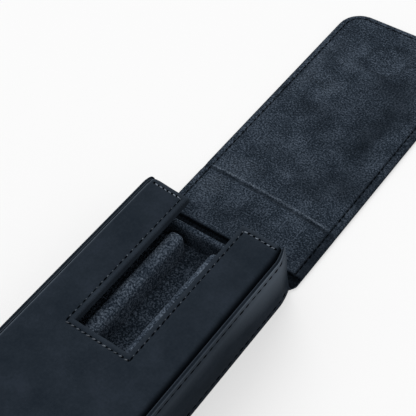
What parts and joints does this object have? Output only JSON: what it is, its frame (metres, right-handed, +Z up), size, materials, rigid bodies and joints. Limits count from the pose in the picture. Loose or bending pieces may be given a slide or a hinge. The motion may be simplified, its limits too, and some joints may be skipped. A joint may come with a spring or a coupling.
{
  "type": "pen case",
  "caption": "Flat sewn leather case with a windowed front, a folding flap held by hidden magnets, and a suede-lined tray of pen channels that slides out.",
  "frame": {"origin": "on the table, under the middle of the case's mouth, with the case lying on its back and its flap opened flat", "axes": "+X across the case, +Y out of the mouth along the open flap, +Z up from the back panel to the front panel"},
  "size_m": [0.093, 0.3865, 0.0375],
  "materials": {
    "case_leather": "matte",
    "suede": "matte",
    "board": "matte",
    "foam": "matte",
    "magnet": "satin"
  },
  "bodies": {
    "case": {"back_leather": "case_leather", "back_board": "board", "back_lining": "suede", "front_leather": "case_leather", "front_board": "board", "front_lining": "suede", "front_magnet": "magnet", "gusset_leather": "case_leather", "gusset_lining": "suede", "left_side_board": "board", "right_side_board": "board", "closed_end_board": "board"},
    "bridge": {"bridge_leather": "case_leather", "bridge_board": "board", "bridge_lining": "suede"},
    "lid": {"lid_leather": "case_leather", "lid_board": "board", "lid_lining": "suede", "lid_magnet": "magnet"},
    "tray": {"tray_cover": "suede", "tray_base": "board", "tray_frame": "board", "tray_wall_lining": "suede", "bed_foam": "foam", "bed_lining": "suede", "left_divider_core": "board", "right_divider_core": "board", "left_divider_cover": "suede", "right_divider_cover": "suede"}
  },
  "joints": [
    {"name": "bridge_fold", "type": "hinge", "parent": "case", "child": "bridge", "pos_m": [0, 0.005, 0.0011], "axis": [1, 0, 0], "range_deg": [0, 90]},
    {"name": "lid_fold", "type": "hinge", "parent": "bridge", "child": "lid", "pos_m": [0, 0.0445, 0.0011], "axis": [1, 0, 0], "range_deg": [0, 90]},
    {"name": "tray_slide", "type": "slide", "parent": "case", "child": "tray", "axis": [0, 1, 0], "range_m": [0, 0.225]}
  ]
}
